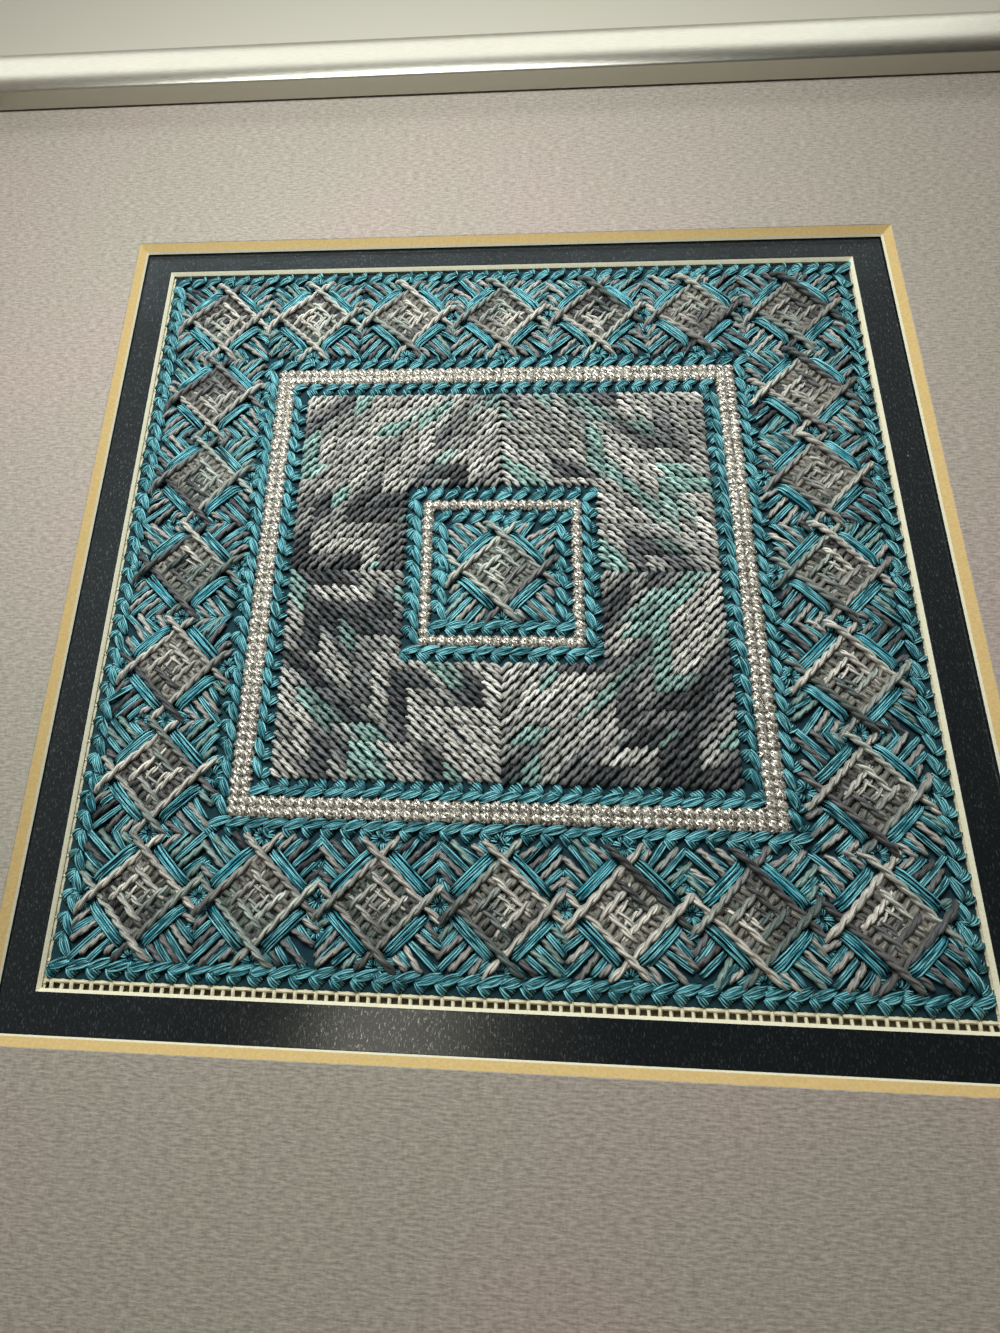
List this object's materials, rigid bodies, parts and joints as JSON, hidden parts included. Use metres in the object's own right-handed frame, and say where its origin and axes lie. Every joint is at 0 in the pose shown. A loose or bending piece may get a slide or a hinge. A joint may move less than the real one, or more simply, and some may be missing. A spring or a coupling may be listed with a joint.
{
  "type": "needlepoint canvas panel in a metal frame",
  "caption": "Square stitched canvas panel with nested braided borders and raised lozenges, behind two window mats in a slim metal frame.",
  "frame": {"origin": "under the middle of the frame, on the surface that its rear flanges rest on", "axes": "+Z out of the stitched face, +X to the right and +Y towards the top edge as the face is looked at"},
  "size_m": [0.2382, 0.2382, 0.014],
  "materials": {
    "section_metal": "satin, bead-blasted and clear anodised",
    "outer_board": "linen-textured paper face with a gold core at the bevel",
    "inner_board": "brushed black metal foil face with a cream core at the bevel",
    "stitching": "cotton and rayon threads with metallic rows on cream cotton canvas",
    "backing": "plain brown board"
  },
  "bodies": {
    "root": {"needlepoint_canvas": "stitching", "inner_mat": "inner_board", "outer_mat": "outer_board", "backing_board": "backing", "frame_rail_bottom": "section_metal", "frame_rail_top": "section_metal", "frame_rail_left": "section_metal", "frame_rail_right": "section_metal"}
  },
  "joints": []
}
